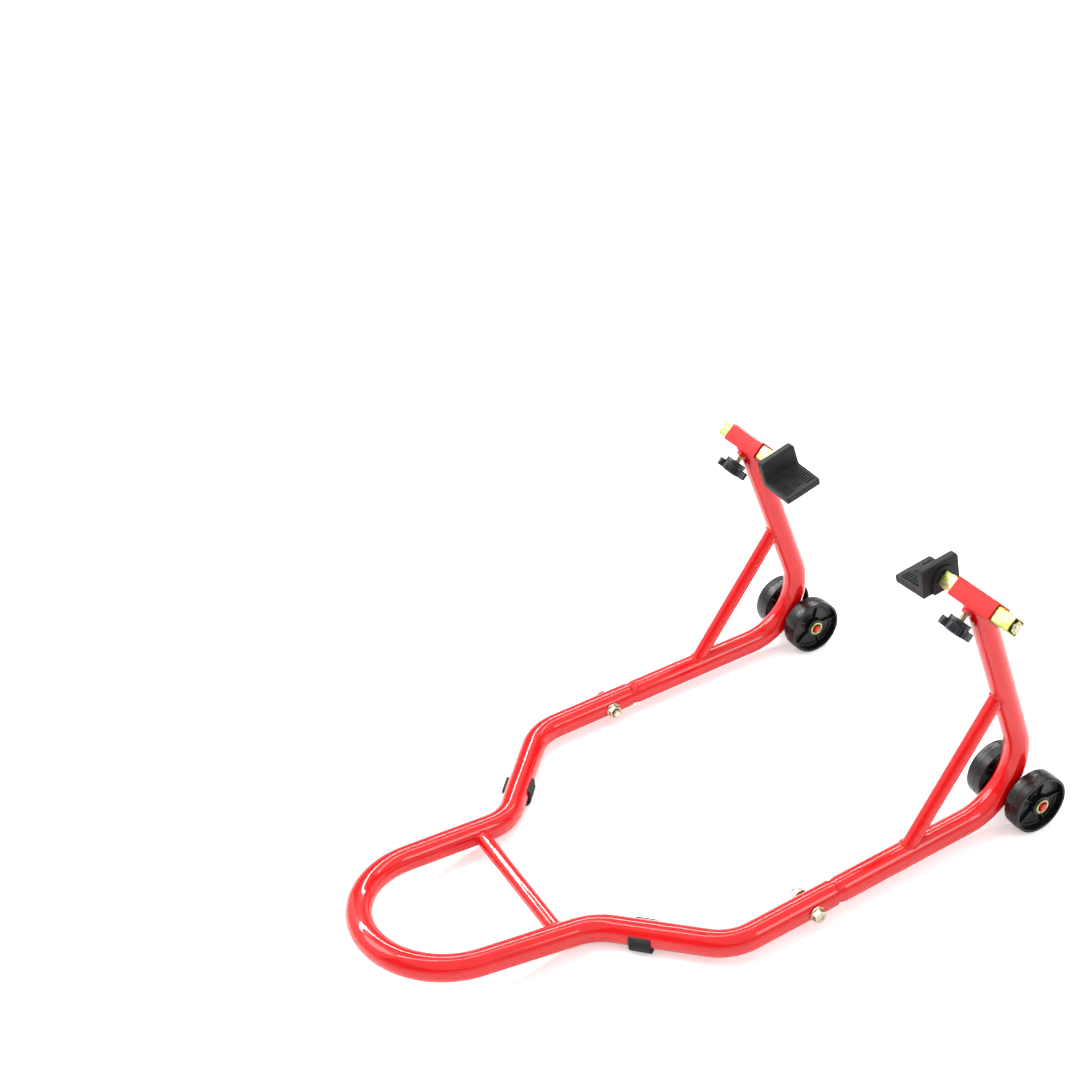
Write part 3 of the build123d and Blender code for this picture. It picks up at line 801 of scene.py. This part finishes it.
def raise_ridges(bm, at):
    """Grip ridges along the seat, in groups either side of a framed centre panel."""
    rows = int((PAD_REACH - PAD_THICKNESS - RIDGE_FREE_MARGIN) / RIDGE_PITCH)
    panel_row = rows - PANEL_ROWS - 1
    for row in range(rows):
        x = RIDGE_START + row * RIDGE_PITCH
        # Each ridge is given as its middle and its half length.
        ridges = [(-16, 6.5), (16, 6.5)]
        if row < panel_row:
            ridges.append((0, 7.5))
        elif row < panel_row + PANEL_ROWS:
            ridges.append((0, 5))
        for middle, half in ridges:
            low, high = x - RIDGE_WIDTH / 2, x + RIDGE_WIDTH / 2
            prism(bm, at, ridge_outline(low, high, half, 0.7, middle), SUNK, RIDGE_HEIGHT, 0.35)
    low = RIDGE_START + panel_row * RIDGE_PITCH - PANEL_MARGIN
    high = low + (PANEL_ROWS - 1) * RIDGE_PITCH + 2 * PANEL_MARGIN
    outer = ridge_outline(low, high, PANEL_HALF_WIDTH, 1.2, steps=4)
    low, high = low + PANEL_FRAME_WIDTH, high - PANEL_FRAME_WIDTH
    inner = ridge_outline(low, high, PANEL_HALF_WIDTH - PANEL_FRAME_WIDTH, 0.6, steps=4)
    prism(bm, at, outer, SUNK, PANEL_FRAME_HEIGHT, hole=inner)


def build_pad(side, sign):
    """The L-shaped rubber pad: a wall with an arch on its outer face, and a seat with ridges."""
    rubber, spindle = f"pad_rubber_{side}", f"pad_spindle_{side}"
    pivot = centre(spindle)
    normal = Vector(mounts[f"pad_seat_{side}"]["axis"])
    tilt = atan2(-normal.y, normal.z)
    droop = asin(abs(normal.x))
    low, high = box(rubber)
    wall_x = (high.x - ARCH_DEPTH) if sign > 0 else (low.x + ARCH_DEPTH)
    # The pad's own frame: X points out to the sleeve, and is mirrored for the left pad.
    mirror = Matrix.Diagonal((sign, 1, 1, 1))
    at = Matrix.Translation((wall_x, pivot.y, pivot.z)) @ Matrix.Rotation(tilt, 4, "X") @ mirror
    at = at @ Matrix.Translation((0, -PAD_FORWARD, 0))
    half = PAD_LENGTH / 2
    rims = [half - PAD_EDGE * (1 - sin(pi / 2 * k / 4)) for k in range(5)]
    bends = [half - PAD_TOP_CORNER * (1 - sin(pi / 2 * k / 8)) for k in range(7)]
    stations = sorted({round(s, 3) for s in rims + bends})
    places = [-s for s in reversed(stations)] + stations
    bm = bmesh.new()
    lofted(bm, at, [pad_section(y, droop) for y in places])

    # The arch stands out of the wall's outer face, round the bar's end.
    turns = [radians(d) for d in range(-90, 91, 6)]
    arch = [(ARCH_RADIUS * sin(a) + PAD_FORWARD, ARCH_RADIUS * cos(a)) for a in turns]
    arch += [(x + PAD_FORWARD, -PAD_BELOW + 1) for x in (ARCH_RADIUS, -ARCH_RADIUS)]
    face = at @ Matrix(((0, 0, 1, 0), (1, 0, 0, 0), (0, 1, 0, 0), (0, 0, 0, 1)))
    prism(bm, face, arch, -1, ARCH_DEPTH, 0.9)

    # The seat's frame has X along the seat to its free edge, and Z out of its face.
    seat_at = at @ Matrix.Translation((-PAD_THICKNESS, 0, -PAD_BELOW + PAD_THICKNESS))
    seat_at = seat_at @ Matrix(((-cos(droop), 0, -sin(droop), 0), (0, 1, 0, 0),
                                (-sin(droop), 0, cos(droop), 0), (0, 0, 0, 1)))
    raise_ridges(bm, seat_at)
    piece(f"{rubber}_moulding", bm, body(rubber), "black_rubber", rubber, sharp=45)


# ---- Pad spindles ---------------------------------------------------------------------
SPINDLE_PITCH = 1.5
SPINDLE_NUT_FLATS = 14.0
SPINDLE_WASHER_THICKNESS = 1.6
OUTER_WASHER_RADIUS = 7.0


def build_spindle(side, sign):
    """The swivel bolt through the bar, its two washers and its lock nut."""
    spindle, washers, nut = (f"{n}_{side}" for n in ("pad_spindle", "spindle_washers", "spindle_nut"))
    pivot = centre(spindle)
    at = local_frame((0, pivot.y, pivot.z), (sign, 0, 0), (0, 1, 0))
    start, end = sorted(abs(c.x) for c in box(spindle))
    nut_start, nut_end = sorted(abs(c.x) for c in box(nut))
    first, last = sorted(abs(c.x) for c in box(washers))
    radius = span(box(spindle), 2) / 2
    bm = bmesh.new()
    turned(bm, at, rod_profile(radius, start, nut_start - 3, 0.5))
    turned(bm, at, thread_profile(2 * radius, SPINDLE_PITCH, nut_start - 4, end, 0.8), 60)
    piece(f"{spindle}_bolt", bm, body(spindle), "bright_zinc", spindle)
    bm = bmesh.new()
    for outer, face in (
        (span(box(washers), 2) / 2, first),
        (OUTER_WASHER_RADIUS, last - SPINDLE_WASHER_THICKNESS),
    ):
        turned(bm, at, ring_profile(outer, radius, face, face + SPINDLE_WASHER_THICKNESS, 0.4))
    piece(f"{washers}_rings", bm, body(washers), "bright_zinc", washers)
    bm = bmesh.new()
    turned(bm, at, hexagon_profile(SPINDLE_NUT_FLATS, radius, nut_start, nut_end), 72)
    piece(f"{nut}_hexagon", bm, body(nut), "bright_zinc", nut)


for side, sign in SIDES.items():
    build_pad(side, sign)
    build_spindle(side, sign)

# ---- Bolted joints between handle and arms --------------------------------------------
BOLT_FLATS = 15.0
BOLT_PITCH = 1.5
BOLT_HEAD = 6.5
DISH_RADIUS = 4.4
DISH_DEPTH = 0.9
NUT_HEIGHT = 7.0
INSERT_HEIGHT = 2.5
INSERT_RADIUS = 6.3
WASHER_THICKNESS = 1.6
WASHER_RADIUS = 9.5
TUBE_RADIUS = 16.0
BOLT_RADIUS = 5.0
BOLT_PROUD = 2.0
DIMPLE_BEHIND_BOLT = 41.0
DIMPLE_RADIUS = 5.0
DIMPLE_SUNK = 1.6


def press_dimple(bm, middle, run):
    """The rolled rim and raised button of a locating dimple, pressed behind the seam.

    It faces up and a little to the right, on both arms.
    """
    up = Vector((0.35, 0, 1))
    up = (up - run * up.dot(run)).normalized()
    skin = TUBE_RADIUS - DIMPLE_SUNK
    at = local_frame(middle + run * DIMPLE_BEHIND_BOLT + up * skin, up, run)
    button = [(0, 2.0), (1.6, 1.7), (2.6, 0.3), (3.2, 0.3), (4.0, 1.9), (DIMPLE_RADIUS, 1.5)]
    button += [(DIMPLE_RADIUS + 1, -0.6), (DIMPLE_RADIUS + 1, -2), (0, -2)]
    shape = rounded(button, [0, 1, 0.5, 0.5, 0.6, 0.8, 0.5, 0, 0], steps=3)
    turned(bm, at, lambda angle: shape, 40)


def build_joints():
    """Each arm's locating dimple, and the bolt, washers, nut and lock collar of its joint."""
    washers, inserts = bmesh.new(), bmesh.new()
    for side, sign in SIDES.items():
        bolt, nut = f"joint_bolt_{side}", f"joint_nut_{side}"
        out = facing(long_edge(bolt), (sign, 0, 0))
        # The frame's origin is the tube's middle, halfway between the two washers.
        lead = BOLT_HEAD - NUT_HEIGHT - INSERT_HEIGHT - BOLT_PROUD
        at = local_frame(centre(bolt) - out * lead / 2, out, (0, 0, 1))
        # The arm runs straight 90 mm behind the bolt.
        on_arm = at.translation + Vector((0, 90, 0))
        run = facing(long_edge(f"arm_{side}", on_arm, 2 * TUBE_RADIUS), (0, 1, 0))
        bm = bmesh.new()
        press_dimple(bm, at.translation, run)
        piece(f"locating_dimple_{side}", bm, body(f"arm_{side}"), "red_enamel")
        base = TUBE_RADIUS + WASHER_THICKNESS
        tip = -base - NUT_HEIGHT - INSERT_HEIGHT - BOLT_PROUD
        bm = bmesh.new()
        turned(bm, at, rod_profile(BOLT_RADIUS, -base + 1, base + 0.5, 0.2))
        turned(bm, at, thread_profile(2 * BOLT_RADIUS, BOLT_PITCH, tip, -base + 2, 1.0), 60)
        head = base + BOLT_HEAD
        turned(bm, at, hexagon_profile(BOLT_FLATS, DISH_RADIUS, base, head, ("high",)), 72)
        turned(bm, at, rod_profile(DISH_RADIUS + 0.1, base, head - DISH_DEPTH, 0.1))
        piece(f"{bolt}_hexagon", bm, body(bolt), "bright_zinc", bolt)
        top = -base - NUT_HEIGHT
        bm = bmesh.new()
        turned(bm, at, hexagon_profile(BOLT_FLATS, BOLT_RADIUS, top, -base, ("low",)), 72)
        piece(f"{nut}_hexagon", bm, body(nut), "bright_zinc", nut)
        collar = ring_profile(INSERT_RADIUS, BOLT_RADIUS, top - INSERT_HEIGHT, top + 0.3, 1.0)
        turned(inserts, at, collar)
        for face in (base - WASHER_THICKNESS, -base):
            outer_face = face + WASHER_THICKNESS
            turned(washers, at, ring_profile(WASHER_RADIUS, BOLT_RADIUS, face, outer_face, 0.45))
    piece("joint_washer_rings", washers, body("joint_washers"), "bright_zinc", "joint_washers")
    piece("lock_nut_collars", inserts, body("nylon_inserts"), "black_nylon", "nylon_inserts")


build_joints()

# ---- Rubber feet ----------------------------------------------------------------------
FOOT_LENGTH = 26.0
FOOT_WIDTH = 37.0
FOOT_HEIGHT = 26.0
FOOT_BEND = 13.0
SADDLE_AXIS_HEIGHT = 19.8
GROOVE_PITCH = 1.9
GROOVE_DEPTH = 0.4
GROOVE_COUNT = 5


def build_foot(side):
    """A rubber strap round the tube's underside, with fine grooves along both cheeks."""
    foot = f"foot_{side}"
    middle = centre(foot)
    tube_run = facing(long_edge("handle_tube", middle, 1.5 * TUBE_RADIUS), (0, 1, 0))
    flat_run = Vector((tube_run.x, tube_run.y, 0)).normalized()
    at = local_frame((middle.x, middle.y, 0), flat_run, (-flat_run.y, flat_run.x, 0))
    # In this frame X runs across the tube, Y is up or down, and Z runs along the tube.
    up = 1 if (at.to_3x3() @ Vector((0, 1, 0))).z > 0 else -1
    half = FOOT_WIDTH / 2
    rise = FOOT_HEIGHT - SADDLE_AXIS_HEIGHT
    lip = sqrt(TUBE_RADIUS**2 - rise**2)
    bend = [-pi / 2 + pi / 2 * k / 12 for k in range(13)]
    cheek = [(half - FOOT_BEND * (1 - cos(a)), FOOT_BEND * (1 + sin(a))) for a in bend]
    sunk = half - GROOVE_DEPTH
    for k in range(GROOVE_COUNT):
        y = FOOT_BEND + 1 + GROOVE_PITCH * k
        cheek += [(half, y), (sunk, y + 0.3), (sunk, y + 0.7), (half, y + 1)]
    outline = cheek + [(half, FOOT_HEIGHT - 0.8), (half - 0.8, FOOT_HEIGHT)]
    start = atan2(rise, lip)
    arc = [start - (pi + 2 * start) * k / 28 for k in range(29)]
    saddle = [(TUBE_RADIUS * cos(a), SADDLE_AXIS_HEIGHT + TUBE_RADIUS * sin(a)) for a in arc]
    mirrored_cheek = [(-x, z) for x, z in reversed(outline)]
    points = [(x, up * z) for x, z in outline + saddle + mirrored_cheek]
    bm = bmesh.new()
    prism(bm, at, [Vector(p) for p in points], -FOOT_LENGTH / 2, FOOT_LENGTH / 2, 0.5)
    piece(f"{foot}_saddle", bm, body(foot), "black_rubber", foot, sharp=30)


for side in SIDES:
    build_foot(side)

# ---- Weld beads -----------------------------------------------------------------------
WELD_RADIUS = 1.7
WELD_STEPS = 72
# Rays for the upright's weld start this far below the sleeve's middle.
BELOW_SLEEVE = 60
NUT_WELD_RING = 7.4
NUT_WELD_FACE = -3.1
NUT_WELD_RADIUS = 0.9
NUT_WELD_RIPPLE = 1.6


def round_member(node, direction):
    """The middle and radius of a round tube seen along its own direction."""
    across = local_frame((0, 0, 0), direction, (1, 0, 0) if abs(direction.x) < 0.7 else (0, 0, 1))
    back = across.inverted()
    seen = [back @ (v.co / MM) for v in nodes[node].data.vertices]
    lows = Vector([min(p[k] for p in seen) for k in range(3)])
    highs = Vector([max(p[k] for p in seen) for k in range(3)])
    return across, (lows + highs) / 2, (highs.x - lows.x) / 2


def weld_ring(bm, onto, across, middle, radius, way):
    """A bead where a round member, shot along its own direction, lands on another node."""
    mesh = nodes[onto].data
    skin = BVHTree.FromPolygons([v.co for v in mesh.vertices], [p.vertices for p in mesh.polygons])
    path = []
    for k in range(WELD_STEPS):
        a = 2 * pi * k / WELD_STEPS
        start = across @ (middle + Vector((radius * cos(a), radius * sin(a), 0)))
        direction = (across.to_3x3() @ Vector((0, 0, way))).normalized()
        point = skin.ray_cast(start * MM, direction)[0]
        if point is None:
            return False
        path.append(point / MM)
    bead(bm, path, WELD_RADIUS)
    return True


def build_welds():
    """The beads of the crossbar, braces, uprights and clamp nuts. Every bead has to find its seam."""
    bm = bmesh.new()
    across, middle, radius = round_member("handle_crossbar", long_edge("handle_crossbar"))
    done = [weld_ring(bm, "handle_tube", across, middle, radius, way) for way in (1, -1)]
    piece("crossbar_welds", bm, body("handle_crossbar"), "red_enamel")
    for side in SIDES:
        bm = bmesh.new()
        across, middle, radius = round_member(f"brace_{side}", long_edge(f"brace_{side}"))
        done += [weld_ring(bm, f"arm_{side}", across, middle, radius, way) for way in (1, -1)]
        # The upright's top lands on the two lower faces of the square sleeve.
        sleeve = f"sleeve_{side}"
        near = centre(sleeve) - Vector((0, 0, BELOW_SLEEVE))
        upright = facing(long_edge(f"arm_{side}", near, 2.5 * TUBE_RADIUS), (0, 0, 1))
        at = local_frame(centre(sleeve), upright, (1, 0, 0))
        start = Vector((0, 0, -BELOW_SLEEVE))
        done.append(weld_ring(bm, sleeve, at, start, TUBE_RADIUS - 0.3, 1))
        # The clamp nut is welded to the sleeve all round its foot.
        at = local_frame(centre(f"clamp_nut_{side}"), clamp_axis(side), (1, 0, 0))
        turns = [2 * pi * k / 60 for k in range(60)]
        ring = [(NUT_WELD_RING * cos(a), NUT_WELD_RING * sin(a), NUT_WELD_FACE) for a in turns]
        bead(bm, [at @ Vector(p) for p in ring], NUT_WELD_RADIUS, NUT_WELD_RIPPLE)
        piece(f"arm_{side}_welds", bm, body(f"arm_{side}"), "red_enamel")
    assert all(done), done


build_welds()

# ---- Floor, light and camera ----------------------------------------------------------
# The camera stands to the front right and looks down over the handle.
CAMERA_PLACE = (1377.18, -739.28, 1436.61)
CAMERA_YAW, CAMERA_PITCH, CAMERA_ROLL = radians(61.59), radians(-32.78), radians(-5.24)
CAMERA_LENS = 55.75
CAMERA_SHIFT = -0.0926
# The floor lies a hair below the wheels.
FLOOR_RADIUS = 9.0
FLOOR_SIDES = 64
FLOOR_GAP = 0.0002
WALL_HEIGHT = 3.5


def build_camera():
    """A short telephoto view with its frame shifted sideways, and a slight roll."""
    data = bpy.data.cameras.new("camera")
    data.lens, data.sensor_width, data.shift_x = CAMERA_LENS, 36, CAMERA_SHIFT
    data.clip_start, data.clip_end = 0.05, 50
    camera = bpy.data.objects.new("camera", data)
    turn = Matrix.Rotation(CAMERA_YAW, 4, "Z") @ Matrix.Rotation(pi / 2 + CAMERA_PITCH, 4, "X")
    turn = turn @ Matrix.Rotation(CAMERA_ROLL, 4, "Z")
    camera.matrix_world = Matrix.Translation(Vector(CAMERA_PLACE) * MM) @ turn
    bpy.context.scene.collection.objects.link(camera)
    bpy.context.scene.camera = camera


def softbox(name, place, target, width, height, power):
    """A rectangular soft light in metres and watts, which shows in gloss as a sharp bright strip."""
    data = bpy.data.lights.new(name, "AREA")
    data.shape, data.size, data.size_y, data.energy = "RECTANGLE", width, height, power
    lamp = bpy.data.objects.new(name, data)
    lamp.location = place
    lamp.rotation_mode = "QUATERNION"
    lamp.rotation_quaternion = (Vector(place) - Vector(target)).to_track_quat("Z", "Y")
    bpy.context.scene.collection.objects.link(lamp)


def overcast(name, direction, spread, strength):
    """A broad even light from far away, which shows in gloss as a soft disc of this spread."""
    data = bpy.data.lights.new(name, "SUN")
    data.angle, data.energy = radians(spread), strength
    lamp = bpy.data.objects.new(name, data)
    lamp.rotation_mode = "QUATERNION"
    lamp.rotation_quaternion = Vector(direction).to_track_quat("Z", "Y")
    bpy.context.scene.collection.objects.link(lamp)


def build_floor():
    """A round sheet of paper, flat under the stand and swept up to a low wall all round."""
    sweep = [radians(a) for a in range(0, 85, 12)]
    outline = [(FLOOR_RADIUS * share, 0) for share in (0.05, 0.3, 0.6, 0.85)]
    outline += [(FLOOR_RADIUS + WALL_HEIGHT * sin(a), WALL_HEIGHT * (1 - cos(a))) for a in sweep]
    bm = bmesh.new()
    rings = []
    for radius, height in outline:
        turns = [2 * pi * k / FLOOR_SIDES for k in range(FLOOR_SIDES)]
        rings.append([bm.verts.new((radius * cos(t), radius * sin(t), height)) for t in turns])
    bm.faces.new(rings[0])
    for ring, following in zip(rings, rings[1:]):
        for k in range(FLOOR_SIDES):
            j = (k + 1) % FLOOR_SIDES
            bm.faces.new((ring[k], following[k], following[j], ring[j]))
    bmesh.ops.recalc_face_normals(bm, faces=bm.faces)
    mesh = bpy.data.meshes.new("floor")
    bm.to_mesh(mesh)
    bm.free()
    mesh.shade_smooth()
    mesh.materials.append(pale_paper_floor())
    floor = bpy.data.objects.new("floor", mesh)
    floor.location.z = -FLOOR_GAP
    bpy.context.scene.collection.objects.link(floor)


def build_world():
    """A dim white studio all round, shown in plain display colours."""
    world = bpy.data.worlds.new("studio")
    world.use_nodes = True
    back = world.node_tree.nodes["Background"]
    back.inputs["Color"].default_value = colour("FFFFFF")
    back.inputs["Strength"].default_value = 0.3
    bpy.context.scene.world = world
    bpy.context.scene.view_settings.view_transform = "Standard"


build_camera()
overcast("front_left_wash", (-0.6, -0.58, 0.5), 76, 1.15)
overcast("front_left_key", (-0.4, -0.45, 0.8), 26, 0.7)
overcast("overhead_wash", (0.3, 0.2, 1.0), 100, 1.35)
softbox("left_strip", (-1.6, 0.6, 1.7), (0, 0.6, 0.1), 3.6, 0.16, 48)
softbox("middle_strip", (-0.35, 0.7, 2.0), (0, 0.7, 0.1), 3.4, 0.08, 18)
softbox("side", (1.9, 1.2, 1.6), (0, 0, 0.12), 0.8, 0.8, 8)
build_floor()
build_world()
